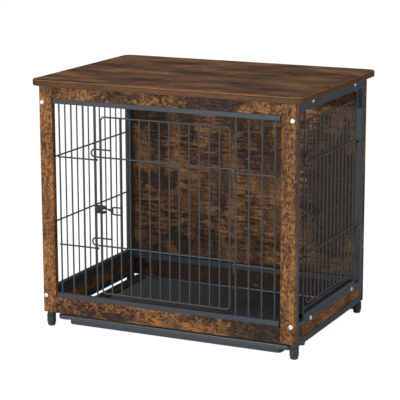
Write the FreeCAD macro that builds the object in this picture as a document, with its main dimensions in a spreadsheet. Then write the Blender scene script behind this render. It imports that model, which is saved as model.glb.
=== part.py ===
import FreeCAD, Part
import math
import os
import Sketcher

# Dog crate end table. Millimetres. The origin is on the floor under the middle of
# the table top: +X to the right, +Y to the back, +Z up.

sizes = {
    # table top
    "top_length": 700.0,
    "top_width": 495.0,
    "top_thick": 15.0,
    "top_corner": 22.0,
    "top_ease": 2.0,
    "total_height": 616.0,
    # how far the top stands out past the body
    "side_overhang": 19.0,
    "front_overhang": 12.2,
    "rear_overhang": 18.3,
    # wooden boards
    "board_thick": 15.0,
    "board_ease": 0.8,
    "stile_width": 34.5,
    "front_clear": 40.0,
    "front_top_height": 30.0,
    "front_bottom_height": 40.0,
    "side_board_thick": 12.0,
    "side_board_inset": 1.0,
    "back_clear": 28.0,
    # steel frame
    "post_side": 15.0,
    "tube_wall": 1.2,
    "tube_corner": 1.2,
    "frame_clear": 27.4,
    "side_top_rail_height": 25.0,
    "side_bottom_rail_height": 15.6,
    "side_board_height": 29.5,
    "mid_rail_height": 12.5,
    "sill_height": 12.5,
    "front_beam_under": 62.0,
    "back_beam_under": 77.0,
    "front_rail_side": 12.0,
    "front_rail_gap": 3.0,
    # wires
    "bar_wire": 4.0,
    "thin_wire": 3.5,
    "weld_bite": 0.3,
    "front_mesh_inset": 6.0,
    "side_mesh_inset": 3.0,
    "front_wall_gap": 15.9,
    "front_panel_pitch": 32.7,
    "front_panel_count": 4.0,
    "front_cross_drop": 128.0,
    "front_cross_rise": 123.0,
    "left_wall_gap": 27.05,
    "left_wire_count": 13.0,
    "left_cross_drop": 160.6,
    "left_cross_rise": 155.9,
    "side_wall_gap": 32.25,
    "side_cross_drop": 129.0,
    "side_cross_rise": 135.5,
    "sill_wire_rise": 12.5,
    # doors
    "stop_gap": 0.3,
    "pintle_clearance": 0.08,
    "pintle_offset": 2.0,
    "pintle_length": 30.0,
    "pintle_bend": 4.0,
    "eye_drop": 7.6,
    "door_corner": 10.0,
    "hairpin_height": 18.4,
    "front_door_clear": 15.0,
    "front_door_gaps": 13.0,
    "front_door_rise": 12.0,
    "side_door_clear": 20.0,
    "side_door_gaps": 12.0,
    "side_door_rise": 21.5,
    "door_drop": 24.0,
    # latches
    "front_latch_rise": 220.0,
    "side_latch_rise": 229.5,
    "latch_plate_length": 29.0,
    "latch_plate_height": 20.5,
    "latch_plate_thick": 1.5,
    "latch_plate_corner": 4.0,
    "latch_guide_wall": 1.0,
    "latch_guide_length": 12.0,
    "bolt_wire": 3.5,
    "bolt_clearance": 0.1,
    "bolt_travel": 16.5,
    "bolt_gap": 0.8,
    "handle_length": 29.0,
    "handle_height": 21.0,
    "handle_corner": 4.0,
    "handle_run": 11.75,
    "latch_web": 7.0,
    "latch_web_thick": 3.0,
    "latch_web_gap": 2.5,
    "bolt_bend": 4.0,
    "bolt_start": 0.5,
    "bolt_past_frame": 18.5,
    # tray
    "tray_side_gap": 13.0,
    "tray_rear_gap": 4.2,
    "tray_front_setback": 30.3,
    "tray_corner": 24.0,
    "tray_rim_height": 10.0,
    "tray_rim_top": 26.0,
    "tray_rim_width": 28.0,
    "tray_wall": 2.0,
    "tray_under": 7.0,
    "tray_draft": 4.0,
    "tray_pan_corner": 12.0,
    "rib_pitch": 10.0,
    "rib_width": 3.0,
    "rib_below_rim": 2.5,
    # tray runners
    "runner_thick": 2.0,
    "runner_shelf": 18.0,
    "runner_side_gap": 1.0,
    "runner_hanger": 10.0,
    "runner_hanger_inset": 5.0,
    "runner_setback": 5.0,
    "runner_tab_place": 150.0,
    "runner_tab_setback": 6.0,
    # feet
    "foot_diameter": 22.0,
    "foot_height": 18.4,
    "foot_plug": 14.0,
    "foot_plug_clearance": 0.15,
    "glide_diameter": 19.0,
    "glide_ease": 2.0,
    "stem_diameter": 8.0,
    "stem_clearance": 0.1,
    "stem_length": 18.0,
    "stem_top_room": 1.0,
    # screws
    "screw_head": 11.0,
    "screw_head_height": 2.6,
    "screw_shank": 5.0,
    "screw_clearance": 0.1,
    "end_screw_low": 82.0,
    "end_screw_drop": 40.0,
    "back_screw_mid": 320.0,
    "side_screw_front": 132.0,
    "side_screw_rear": 143.0,
    "side_screw_drop": 7.5,
    "top_screw_reach": 160.6,
    "top_screw_bite": 9.0,
}

doc = FreeCAD.newDocument("dog_crate_table")
sheet = doc.addObject("Spreadsheet::Sheet", "Sizes")
for row, (alias, number) in enumerate(sizes.items(), start=1):
    sheet.set("A%d" % row, alias)
    sheet.set("B%d" % row, str(number))
    sheet.setAlias("B%d" % row, alias)
doc.recompute()

# Places that several pieces share, written once as formulas on the sheet.
half = "(Sizes.top_length / 2 - Sizes.side_overhang)"
front = "(-Sizes.top_width / 2 + Sizes.front_overhang)"
rear = "(Sizes.top_width / 2 - Sizes.rear_overhang)"
under_top = "(Sizes.total_height - Sizes.top_thick)"
middle_y = "((%s + %s) / 2)" % (front, rear)
post_front = "(%s + Sizes.board_thick)" % front
post_rear = "(%s - Sizes.board_thick)" % rear
inner_front = "(%s + Sizes.post_side)" % post_front
inner_rear = "(%s - Sizes.post_side)" % post_rear
inner_half = "(%s - Sizes.post_side)" % half
side_run = "(%s - %s)" % (inner_rear, inner_front)
side_board_low = "(Sizes.frame_clear + Sizes.side_bottom_rail_height)"
mid_rail_low = "(%s + Sizes.side_board_height)" % side_board_low
sill_low = "(%s + Sizes.mid_rail_height)" % mid_rail_low
sill_top = "(%s + Sizes.sill_height)" % sill_low
side_rail_under = "(%s - Sizes.side_top_rail_height)" % under_top
front_opening_low = "(Sizes.front_clear + Sizes.front_bottom_height + Sizes.front_rail_side)"
front_opening_high = "(%s - Sizes.front_top_height - Sizes.front_rail_side)" % under_top
stile_inner = "(%s - Sizes.stile_width)" % half
front_panel_width = "(Sizes.front_panel_pitch * (Sizes.front_panel_count - 1))"
front_first = "(%s - Sizes.front_wall_gap - %s)" % (stile_inner, front_panel_width)
front_door_half = "(%s - Sizes.front_door_clear)" % front_first
front_door_low = "(%s + Sizes.front_door_rise)" % front_opening_low
front_door_high = "(%s - Sizes.door_drop)" % front_opening_high
front_crosses = ("(%s - Sizes.front_cross_drop)" % front_opening_high,
                 "(%s + Sizes.front_cross_rise)" % front_opening_low)
side_first = "(%s / 2 - Sizes.side_wall_gap)" % side_run
side_door_half = "(%s - Sizes.side_door_clear)" % side_first
side_door_low = "(%s + Sizes.side_door_rise)" % sill_top
side_door_high = "(%s - Sizes.door_drop)" % side_rail_under
side_crosses = ("(%s - Sizes.side_cross_drop)" % side_rail_under, "(%s + Sizes.side_cross_rise)" % sill_top)
left_crosses = ("(%s - Sizes.left_cross_drop)" % side_rail_under, "(%s + Sizes.left_cross_rise)" % sill_top)
screw_column = "(%s - Sizes.post_side / 2)" % half
cross_plane = "(Sizes.bar_wire + Sizes.stop_gap)"
door_plane = "(%s - (Sizes.bar_wire + Sizes.thin_wire) / 2 + Sizes.weld_bite)" % cross_plane


def amount(formula):
    """The number that a formula on the sheet gives now."""
    result = sheet.evalExpression(formula)
    return float(getattr(result, "Value", result))


def bind(thing, **formulas):
    """Tie properties to formulas; two underscores in a name stand for a dot."""
    for name, formula in formulas.items():
        thing.setExpression(name.replace("__", "."), formula)


def locate(thing, x="0", y="0", z="0"):
    """Tie an object's place to formulas."""
    thing.setExpression("Placement.Base.x", x)
    thing.setExpression("Placement.Base.y", y)
    thing.setExpression("Placement.Base.z", z)


def new_body(label):
    body = doc.addObject("PartDesign::Body", label)
    body.Label = label
    return body


def plane_of(body, role):
    for feature in body.Origin.OriginFeatures:
        if feature.Role == role:
            return feature
    raise RuntimeError("no plane " + role)


def sketch_in(body, role, x="0", y="0", z="0"):
    """A sketch on one of the body's own planes; x, y, z move it in that plane's axes."""
    sketch = body.newObject("Sketcher::SketchObject", body.Label + "_sketch")
    sketch.AttachmentSupport = (plane_of(body, role), [""])
    sketch.MapMode = "FlatFace"
    sketch.setExpression("AttachmentOffset.Base.x", x)
    sketch.setExpression("AttachmentOffset.Base.y", y)
    sketch.setExpression("AttachmentOffset.Base.z", z)
    return sketch


def size_by(sketch, constraint, formula):
    """Add one driving constraint whose value is a formula."""
    index = sketch.addConstraint(constraint)
    sketch.setExpression("Constraints[%d]" % index, formula)


def draw_rectangle(sketch, width, height, inset="0"):
    """A rectangle with its low corner at the sketch origin, drawn in by an inset."""
    low = amount(inset)
    right = amount(width) - low
    top = amount(height) - low
    corners = [(low, low), (right, low), (right, top), (low, top)]
    points = [FreeCAD.Vector(u, v, 0) for u, v in corners]
    first = sketch.GeometryCount
    for i in range(4):
        sketch.addGeometry(Part.LineSegment(points[i], points[(i + 1) % 4]))
    for i in range(4):
        sketch.addConstraint(Sketcher.Constraint("Coincident", first + i, 2, first + (i + 1) % 4, 1))
    for i, word in enumerate(("Horizontal", "Vertical", "Horizontal", "Vertical")):
        sketch.addConstraint(Sketcher.Constraint(word, first + i))
    across = "%s - 2 * %s" % (width, inset)
    along = "%s - 2 * %s" % (height, inset)
    size_by(sketch, Sketcher.Constraint("DistanceX", first, 1, first, 2, right - low), across)
    size_by(sketch, Sketcher.Constraint("DistanceY", first + 1, 1, first + 1, 2, top - low), along)
    if inset == "0":
        sketch.addConstraint(Sketcher.Constraint("Coincident", first, 1, -1, 1))
    else:
        size_by(sketch, Sketcher.Constraint("DistanceX", -1, 1, first, 1, low), inset)
        size_by(sketch, Sketcher.Constraint("DistanceY", -1, 1, first, 1, low), inset)


def draw_rounded(sketch, width, height, radius):
    """A rounded rectangle from the sketch origin: four sides, four quarter turns."""
    w = amount(width)
    h = amount(height)
    r = amount(radius)
    first = sketch.GeometryCount
    sides = [((r, 0), (w - r, 0)), ((w, r), (w, h - r)), ((w - r, h), (r, h)), ((0, h - r), (0, r))]
    turns = [((w - r, r), -90), ((w - r, h - r), 0), ((r, h - r), 90), ((r, r), 180)]
    for (start, end), (centre, angle) in zip(sides, turns):
        sketch.addGeometry(Part.LineSegment(FreeCAD.Vector(*start, 0), FreeCAD.Vector(*end, 0)))
        circle = Part.Circle(FreeCAD.Vector(*centre, 0), FreeCAD.Vector(0, 0, 1), r)
        arc = Part.ArcOfCircle(circle, math.radians(angle), math.radians(angle + 90))
        sketch.addGeometry(arc)
    for i in range(4):
        line = first + 2 * i
        arc = line + 1
        following = first + (2 * i + 2) % 8
        sketch.addConstraint(Sketcher.Constraint("Tangent", line, 2, arc, 1))
        sketch.addConstraint(Sketcher.Constraint("Tangent", arc, 2, following, 1))
        if i:
            sketch.addConstraint(Sketcher.Constraint("Equal", first + 1, arc))
    for i, word in enumerate(("Horizontal", "Vertical", "Horizontal", "Vertical")):
        sketch.addConstraint(Sketcher.Constraint(word, first + 2 * i))
    size_by(sketch, Sketcher.Constraint("Radius", first + 1, r), radius)
    size_by(sketch, Sketcher.Constraint("DistanceX", first + 6, 1, first + 2, 1, w), width)
    size_by(sketch, Sketcher.Constraint("DistanceY", first, 1, first + 4, 1, h), height)
    sketch.addConstraint(Sketcher.Constraint("PointOnObject", first, 1, -1))
    sketch.addConstraint(Sketcher.Constraint("PointOnObject", first + 6, 1, -2))


def draw_circle(sketch, diameter, x="0", y="0"):
    """A circle whose centre is at x, y, both zero or more."""
    centre = FreeCAD.Vector(amount(x), amount(y), 0)
    index = sketch.GeometryCount
    radius = amount(diameter) / 2
    sketch.addGeometry(Part.Circle(centre, FreeCAD.Vector(0, 0, 1), radius))
    size_by(sketch, Sketcher.Constraint("Diameter", index, 2 * radius), diameter)
    for word, formula, axis in (("DistanceX", x, -2), ("DistanceY", y, -1)):
        if formula == "0":
            sketch.addConstraint(Sketcher.Constraint("PointOnObject", index, 3, axis))
        else:
            size_by(sketch, Sketcher.Constraint(word, -1, 1, index, 3, amount(formula)), formula)


def pad(body, sketch, length, name="Pad", backwards=False):
    feature = body.newObject("PartDesign::Pad", body.Label + "_" + name)
    feature.Profile = sketch
    feature.Reversed = backwards
    feature.setExpression("Length", length)
    return feature


def drill(body, role, diameter, depth, places, backwards=False):
    """Round holes, each from its own sketch on one of the body's planes."""
    for x, y, z in places:
        doc.recompute()
        before = body.Shape.Volume
        sketch = sketch_in(body, role, x, y, z)
        draw_circle(sketch, diameter)
        cut = body.newObject("PartDesign::Pocket", body.Label + "_hole")
        cut.Profile = sketch
        cut.Reversed = backwards
        cut.setExpression("Length", depth)
        doc.recompute()
        if before - body.Shape.Volume < 1.0:
            raise RuntimeError("a hole in %s cuts nothing" % body.Label)


def ease_edges(body, amount_off, wanted, kind="Fillet"):
    """Round, or chamfer, those edges of a body that are wanted."""
    doc.recompute()
    base = body.Tip
    edges = ["Edge%d" % i for i, edge in enumerate(base.Shape.Edges, start=1) if wanted(edge)]
    feature = body.newObject("PartDesign::" + kind, body.Label + "_edges")
    feature.Base = (base, edges)
    feature.setExpression("Radius" if kind == "Fillet" else "Size", amount_off)


def board(label, place, span):
    """A board with its low corner at place; span is length, depth and height."""
    body = new_body(label)
    outline = sketch_in(body, "XY_Plane")
    draw_rectangle(outline, span[0], span[1])
    pad(body, outline, span[2])
    ease_edges(body, "Sizes.board_ease", lambda edge: True, "Chamfer")
    locate(body, *place)
    return body


def tube(label, place, along, across, up, length, hollow=True):
    """A square or flat steel tube with rounded edges, running along X, Y or Z."""
    body = new_body(label)
    role = {"X": "YZ_Plane", "Y": "XZ_Plane", "Z": "XY_Plane"}[along]
    outline = sketch_in(body, role)
    draw_rounded(outline, across, up, "Sizes.tube_corner")
    pad(body, outline, length, backwards=(along == "Y"))
    if hollow:
        bore = sketch_in(body, role)
        draw_rectangle(bore, across, up, "Sizes.tube_wall")
        hollow_out = body.newObject("PartDesign::Pocket", label + "_bore")
        hollow_out.Profile = bore
        hollow_out.Type = "ThroughAll"
        hollow_out.Reversed = (along != "Y")
    locate(body, *place)
    return body


# ---- Wooden boards ----

def make_top_board():
    """The table top: a rounded plate with eased edges, blind holes for its screws."""
    body = new_body("top_board")
    outline = sketch_in(body, "XY_Plane")
    draw_rounded(outline, "Sizes.top_length", "Sizes.top_width", "Sizes.top_corner")
    pad(body, outline, "Sizes.top_thick")
    doc.recompute()
    thick = amount("Sizes.top_thick")
    ease_edges(body, "Sizes.top_ease", lambda edge: edge.BoundBox.ZLength < 0.01
               and (edge.BoundBox.ZMin < 0.01 or edge.BoundBox.ZMin > thick - 0.01))
    bore = "Sizes.screw_shank + 2 * Sizes.screw_clearance"
    holes = []
    for x in ("Sizes.top_length / 2 - %s" % screw_column, "Sizes.top_length / 2 + %s" % screw_column):
        for y in top_screw_rows:
            holes.append((x, "Sizes.top_width / 2 + %s" % y, "0"))
    drill(body, "XY_Plane", bore, "Sizes.top_screw_bite + Sizes.screw_clearance", holes, backwards=True)
    locate(body, "-Sizes.top_length / 2", "-Sizes.top_width / 2", under_top)
    return body


def make_front_boards():
    """Two stiles the full height of the body, and a board between them at top and bottom."""
    height = "%s - Sizes.front_clear" % under_top
    bore = "Sizes.screw_shank + 2 * Sizes.screw_clearance"
    across = "2 * %s" % stile_inner
    for label, left, column in (("front_left_stile", "-%s" % half, "Sizes.post_side / 2"),
                                ("front_right_stile", stile_inner,
                                 "Sizes.stile_width - Sizes.post_side / 2")):
        body = board(label, (left, front, "Sizes.front_clear"),
                     ("Sizes.stile_width", "Sizes.board_thick", height))
        holes = [(column, "%s - Sizes.front_clear" % level, "0") for level in front_screw_levels]
        drill(body, "XZ_Plane", bore, "Sizes.board_thick", holes)
    board("front_top_board", ("-%s" % stile_inner, front, "%s - Sizes.front_top_height" % under_top),
          (across, "Sizes.board_thick", "Sizes.front_top_height"))
    board("front_bottom_board", ("-%s" % stile_inner, front, "Sizes.front_clear"),
          (across, "Sizes.board_thick", "Sizes.front_bottom_height"))


def make_back_board():
    """One board over the whole back, behind the rear posts."""
    body = board("back_board", ("-%s" % half, post_rear, "Sizes.back_clear"),
                 ("2 * %s" % half, "Sizes.board_thick", "%s - Sizes.back_clear" % under_top))
    bore = "Sizes.screw_shank + 2 * Sizes.screw_clearance"
    holes = []
    for column in ("Sizes.post_side / 2", "2 * %s - Sizes.post_side / 2" % half):
        for level in back_screw_levels:
            holes.append((column, "%s - Sizes.back_clear" % level, "0"))
    drill(body, "XZ_Plane", bore, "Sizes.board_thick", holes)


def make_side_boards():
    """A low board in each side frame, between the bottom rail and the mid rail."""
    for label, left in (("left_side_board", "-%s + Sizes.side_board_inset" % half),
                        ("right_side_board", "%s - Sizes.side_board_inset - Sizes.side_board_thick" % half)):
        board(label, (left, inner_front, side_board_low),
              ("Sizes.side_board_thick", side_run, "Sizes.side_board_height"))


# ---- Steel frame ----

def make_posts():
    """Four corner posts. Their screw holes go through the wall that the boards cover."""
    height = "%s - Sizes.frame_clear" % under_top
    bore = "Sizes.screw_shank + 2 * Sizes.screw_clearance"
    for side, left in (("left", "-%s" % half), ("right", inner_half)):
        for end, near, levels in (("front", post_front, front_screw_levels),
                                  ("rear", inner_rear, back_screw_levels)):
            body = tube("%s_%s_post" % (end, side), (left, near, "Sizes.frame_clear"),
                        "Z", "Sizes.post_side", "Sizes.post_side", height)
            wall = "0" if end == "front" else "-(Sizes.post_side - Sizes.tube_wall)"
            holes = [("Sizes.post_side / 2", "%s - Sizes.frame_clear" % level, wall) for level in levels]
            drill(body, "XZ_Plane", bore, "Sizes.tube_wall", holes)


def make_side_rails():
    """Top, mid and bottom rails between the posts of each side, and the right sill."""
    bore = "Sizes.screw_shank + 2 * Sizes.screw_clearance"
    rows = ["%s - %s" % (row, inner_front) for row in side_screw_rows]
    top_rows = ["%s - %s" % (row, inner_front) for row in top_screw_rows]
    for side, left, wall in (("left", "-%s" % half, "0"),
                             ("right", inner_half, "Sizes.post_side - Sizes.tube_wall")):
        top = tube(side + "_top_rail", (left, inner_front, side_rail_under), "Y",
                   "Sizes.post_side", "Sizes.side_top_rail_height", side_run)
        level = "Sizes.side_top_rail_height - Sizes.side_screw_drop"
        drill(top, "YZ_Plane", bore, "Sizes.tube_wall", [(row, level, wall) for row in rows], backwards=True)
        for height in ("0", "Sizes.side_top_rail_height - Sizes.tube_wall"):
            places = [("Sizes.post_side / 2", row, height) for row in top_rows]
            drill(top, "XY_Plane", bore, "Sizes.tube_wall", places, backwards=True)
        tall = "Sizes.mid_rail_height" if side == "right" else "Sizes.mid_rail_height + Sizes.sill_height"
        mid = tube(side + "_mid_rail", (left, inner_front, mid_rail_low), "Y",
                   "Sizes.post_side", tall, side_run)
        level = "Sizes.mid_rail_height / 2"
        drill(mid, "YZ_Plane", bore, "Sizes.tube_wall", [(row, level, wall) for row in rows], backwards=True)
        tube(side + "_bottom_rail", (left, inner_front, "Sizes.frame_clear"), "Y",
             "Sizes.post_side", "Sizes.side_bottom_rail_height", side_run)
    reach = "%s - Sizes.bar_wire / 2 - Sizes.stop_gap" % side_first
    tube("right_sill", (inner_half, "%s - (%s)" % (middle_y, reach), sill_low), "Y",
         "Sizes.post_side", "Sizes.sill_height", "2 * (%s)" % reach)


def make_beams():
    """Square beams from post to post, behind the front boards and before the back board."""
    across = "2 * %s" % inner_half
    side = "Sizes.post_side"
    high = "%s - Sizes.post_side" % under_top
    for label, near, low in (("front_top_beam", post_front, high),
                             ("front_bottom_beam", post_front, "Sizes.front_beam_under"),
                             ("back_top_beam", inner_rear, high),
                             ("back_bottom_beam", inner_rear, "Sizes.back_beam_under")):
        tube(label, ("-%s" % inner_half, near, low), "X", side, side, across)


def make_front_rails():
    """The slim rails that hold the front wires, one under the top board, one on the bottom board."""
    side = "Sizes.front_rail_side"
    reach = "(%s - Sizes.front_rail_gap)" % stile_inner
    tube("front_top_rail", ("-%s" % reach, front, front_opening_high), "X", side, side, "2 * %s" % reach)
    tube("front_bottom_rail", ("-%s" % reach, front, "%s - %s" % (front_opening_low, side)), "X",
         side, side, "2 * %s" % reach)


# ---- Screws ----

def screw(label, place, axis, length):
    """A button screw. Its head stands on the face at place and its shank points along axis."""
    head = doc.addObject("Part::Cone", label + "_head")
    bind(head, Radius1="Sizes.screw_head / 2 - Sizes.screw_head_height / 2",
         Radius2="Sizes.screw_head / 2", Height="Sizes.screw_head_height")
    shank = doc.addObject("Part::Cylinder", label + "_shank")
    bind(shank, Radius="Sizes.screw_shank / 2", Height="%s + Sizes.screw_head_height" % length)
    whole = doc.addObject("Part::Fuse", label)
    whole.Base = head
    whole.Tool = shank
    turn = FreeCAD.Rotation(FreeCAD.Vector(0, 0, 1), FreeCAD.Vector(*axis))
    whole.Placement = FreeCAD.Placement(FreeCAD.Vector(0, 0, 0), turn)
    back = ["%s - %s * Sizes.screw_head_height" % (place[i], axis[i]) for i in range(3)]
    locate(whole, *back)
    return whole


def screw_set(label, places, axis, length):
    """Identical screws that share one node, each a solid of its own."""
    group = doc.addObject("Part::Compound", label)
    group.Label = label
    group.Links = [screw("%s_%d" % (label, i), place, axis, length)
                   for i, place in enumerate(places, start=1)]


def make_screws():
    columns = ("-%s" % screw_column, screw_column)
    through_board = "Sizes.board_thick + Sizes.post_side / 2"
    into_tube = "Sizes.post_side / 2"
    screw_set("front_screws", [(x, front, z) for x in columns for z in front_screw_levels],
              (0, 1, 0), through_board)
    screw_set("back_screws", [(x, rear, z) for x in columns for z in back_screw_levels],
              (0, -1, 0), through_board)
    levels = ("%s - Sizes.side_screw_drop" % under_top, "%s + Sizes.mid_rail_height / 2" % mid_rail_low)
    for side, face, inward in (("left", "-%s" % half, 1), ("right", half, -1)):
        places = [(face, y, z) for y in side_screw_rows for z in levels]
        screw_set(side + "_side_screws", places, (inward, 0, 0), into_tube)
    screw_set("top_screws", [(x, y, side_rail_under) for x in columns for y in top_screw_rows],
              (0, 0, 1), "Sizes.side_top_rail_height + Sizes.top_screw_bite")


# ---- Wire panels and doors ----
# Each of these is drawn looking at its own side from outside: X to the right, the
# fixed wires in the plane Y = 0, outwards along -Y, and Z up from the floor.

fixed_cross = "(Sizes.bar_wire - Sizes.weld_bite)"
eye_radius = "(Sizes.bar_wire + Sizes.pintle_clearance)"
side_reach = "(%s / 2)" % side_run


def to_front(body):
    locate(body, "0", "%s + Sizes.front_mesh_inset" % front, "0")


def to_right(body):
    body.Placement = FreeCAD.Placement(FreeCAD.Vector(0, 0, 0),
                                       FreeCAD.Rotation(FreeCAD.Vector(0, 0, 1), 90))
    locate(body, "%s - Sizes.side_mesh_inset" % half, middle_y, "0")


def to_left(body):
    body.Placement = FreeCAD.Placement(FreeCAD.Vector(0, 0, 0),
                                       FreeCAD.Rotation(FreeCAD.Vector(0, 0, 1), -90))
    locate(body, "-%s + Sizes.side_mesh_inset" % half, middle_y, "0")


def upright(body, x, low, high, wire="Sizes.bar_wire", y="0"):
    """A straight upright wire."""
    section = sketch_in(body, "XY_Plane", x, y, low)
    draw_circle(section, wire)
    return pad(body, section, "%s - %s" % (high, low), "upright"), section


def level_wire(body, left, right, height, y="0"):
    """A straight level wire."""
    section = sketch_in(body, "YZ_Plane", y, height, left)
    draw_circle(section, "Sizes.bar_wire")
    return pad(body, section, "%s - (%s)" % (right, left), "level")


def repeat(body, feature, section, pitch, count, backwards=False):
    """More copies of an upright, side by side."""
    pattern = body.newObject("PartDesign::LinearPattern", body.Label + "_row")
    pattern.Originals = [feature]
    pattern.Direction = (section, ["H_Axis"])
    pattern.Reversed = backwards
    pattern.Occurrences = count
    pattern.setExpression("Length", "%s * %d" % (pitch, count - 1))
    body.Tip = pattern
    return pattern


def eye(body, x, height):
    """The closed eye at the end of a fixed level wire: a wire ring round an upright axis."""
    section = sketch_in(body, "XZ_Plane", x, height, cross_plane)
    draw_circle(section, "Sizes.bar_wire", eye_radius)
    ring = body.newObject("PartDesign::Revolution", body.Label + "_eye")
    ring.Profile = section
    ring.ReferenceAxis = (section, ["V_Axis"])
    ring.Angle = 360.0


def make_front_panels():
    """Fixed wires at both sides of the front door, with the hinge eyes on the right."""
    count = int(round(amount("Sizes.front_panel_count")))
    outer = "(%s - Sizes.front_wall_gap + Sizes.bar_wire / 2)" % stile_inner
    for label, sign in (("front_left_wires", "-"), ("front_right_wires", "")):
        body = new_body(label)
        hook = "%s(%s - Sizes.pintle_offset)" % (sign, front_first)
        wire, section = upright(body, sign + front_first, front_opening_low, front_opening_high)
        level = []
        for height in front_crosses:
            if sign:
                level.append(("-%s" % outer, "%s - %s" % (hook, eye_radius), height))
            else:
                level.append(("%s + %s" % (hook, eye_radius), outer, height))
        for left, right, height in level:
            level_wire(body, left, right, height, "-" + fixed_cross)
            eye(body, hook, height)
        repeat(body, wire, section, "Sizes.front_panel_pitch", count, backwards=bool(sign))
        to_front(body)


def make_left_panel():
    """The fixed grille of the left side."""
    body = new_body("left_wires")
    count = int(round(amount("Sizes.left_wire_count")))
    outermost = "(%s - Sizes.left_wall_gap)" % side_reach
    wire, section = upright(body, "-" + outermost, sill_top, side_rail_under, "Sizes.thin_wire")
    for height in left_crosses:
        level_wire(body, "-%s" % side_reach, side_reach, height, "-" + fixed_cross)
    repeat(body, wire, section, "2 * %s / (Sizes.left_wire_count - 1)" % outermost, count)
    to_left(body)


def make_side_panels():
    """The fixed wire at each end of the side door with its eyes, and the sill wire between."""
    hook = "(%s - Sizes.pintle_offset)" % side_first
    spans = {"right_front_wires": ("-", "-%s" % side_reach, "-%s - %s" % (hook, eye_radius)),
             "right_rear_wires": ("", "%s + %s" % (hook, eye_radius), side_reach)}
    for label, (sign, left, right) in spans.items():
        body = new_body(label)
        upright(body, sign + side_first, sill_low, side_rail_under)
        for height in side_crosses:
            level_wire(body, left, right, height, "-" + fixed_cross)
            eye(body, sign + hook, height)
        to_right(body)
    body = new_body("right_sill_wire")
    reach = "(%s - Sizes.bar_wire / 2)" % side_first
    level_wire(body, "-" + reach, reach, "%s + Sizes.sill_wire_rise" % sill_top)
    to_right(body)


def hairpin_wire(body, half_width, pitch, first, height):
    """One level wire of a door, bent in one piece. It starts on the first thin wire, runs out
    past the door frame, turns back through half a circle in front of the fixed wire, crosses
    the whole door and turns down at the far side as the hinge pintle."""
    turn = amount("Sizes.hairpin_height") / 2
    bend = amount("Sizes.pintle_bend")
    left = "-(%s + Sizes.hairpin_height)" % first
    low = "%s - Sizes.pintle_length - Sizes.pintle_bend" % height
    start = "%s - %s + %s + Sizes.hairpin_height" % (pitch, half_width, first)
    hinge = "2 * %s - Sizes.pintle_offset + Sizes.hairpin_height" % first
    cross = "Sizes.pintle_length + Sizes.pintle_bend"
    u0 = amount("Sizes.hairpin_height")
    u1 = amount(start)
    u2 = amount(hinge)
    v0 = amount("Sizes.pintle_bend")
    v1 = amount(cross)
    path = sketch_in(body, "XZ_Plane", left, low, cross_plane)
    flat = FreeCAD.Vector(0, 0, 1)
    path.addGeometry(Part.LineSegment(FreeCAD.Vector(u1, v1 + 2 * turn, 0),
                                      FreeCAD.Vector(u0, v1 + 2 * turn, 0)))
    path.addGeometry(Part.ArcOfCircle(Part.Circle(FreeCAD.Vector(u0, v1 + turn, 0), flat, turn),
                                      math.radians(90), math.radians(270)))
    path.addGeometry(Part.LineSegment(FreeCAD.Vector(u0, v1, 0), FreeCAD.Vector(u2 - bend, v1, 0)))
    path.addGeometry(Part.ArcOfCircle(Part.Circle(FreeCAD.Vector(u2 - bend, v1 - bend, 0), flat, bend),
                                      0.0, math.radians(90)))
    path.addGeometry(Part.LineSegment(FreeCAD.Vector(u2, v1 - bend, 0), FreeCAD.Vector(u2, v0, 0)))
    path.addConstraint(Sketcher.Constraint("Tangent", 0, 2, 1, 1))
    path.addConstraint(Sketcher.Constraint("Tangent", 1, 2, 2, 1))
    path.addConstraint(Sketcher.Constraint("Tangent", 2, 2, 3, 2))
    path.addConstraint(Sketcher.Constraint("Tangent", 3, 1, 4, 1))
    path.addConstraint(Sketcher.Constraint("Horizontal", 0))
    path.addConstraint(Sketcher.Constraint("Horizontal", 2))
    path.addConstraint(Sketcher.Constraint("Vertical", 4))
    size_by(path, Sketcher.Constraint("DistanceY", 2, 1, 0, 2, 2 * turn), "Sizes.hairpin_height")
    size_by(path, Sketcher.Constraint("Radius", 3, bend), "Sizes.pintle_bend")
    size_by(path, Sketcher.Constraint("DistanceX", -1, 1, 0, 1, u1), start)
    size_by(path, Sketcher.Constraint("DistanceX", -1, 1, 2, 1, u0), "Sizes.hairpin_height")
    size_by(path, Sketcher.Constraint("DistanceX", -1, 1, 4, 2, u2), hinge)
    size_by(path, Sketcher.Constraint("DistanceY", -1, 1, 4, 2, v0), "Sizes.pintle_bend")
    size_by(path, Sketcher.Constraint("DistanceY", -1, 1, 2, 1, v1), cross)
    section = sketch_in(body, "XY_Plane", "%s - Sizes.pintle_offset" % first, "-" + cross_plane,
                        "%s - Sizes.pintle_length" % height)
    draw_circle(section, "Sizes.bar_wire")
    pipe = body.newObject("PartDesign::AdditivePipe", body.Label + "_hairpin")
    pipe.Profile = section
    pipe.Spine = (path, ["Edge%d" % i for i in range(1, 6)])


def make_door(label, half_width, gaps, bottom, top, first, heights):
    """A wire door: a rounded frame, thin uprights, and two hairpin wires outside them."""
    body = new_body(label)
    count = int(round(amount(gaps)))
    pitch = "(2 * %s / %s)" % (half_width, gaps)
    path = sketch_in(body, "XZ_Plane", "-" + half_width, bottom, door_plane)
    draw_rounded(path, "2 * %s" % half_width, "(%s - %s)" % (top, bottom), "Sizes.door_corner")
    section = sketch_in(body, "YZ_Plane", "-" + door_plane, bottom, "Sizes.door_corner - %s" % half_width)
    draw_circle(section, "Sizes.bar_wire")
    ring = body.newObject("PartDesign::AdditivePipe", label + "_frame")
    ring.Profile = section
    ring.Spine = (path, ["Edge%d" % i for i in range(1, 9)])
    wire, section = upright(body, "%s - %s" % (pitch, half_width), bottom, top, "Sizes.thin_wire",
                            "-" + door_plane)
    repeat(body, wire, section, pitch, count - 1)
    for height in heights:
        hairpin_wire(body, half_width, pitch, first, "(%s + Sizes.eye_drop)" % height)
    return body


# ---- Latches ----

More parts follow.
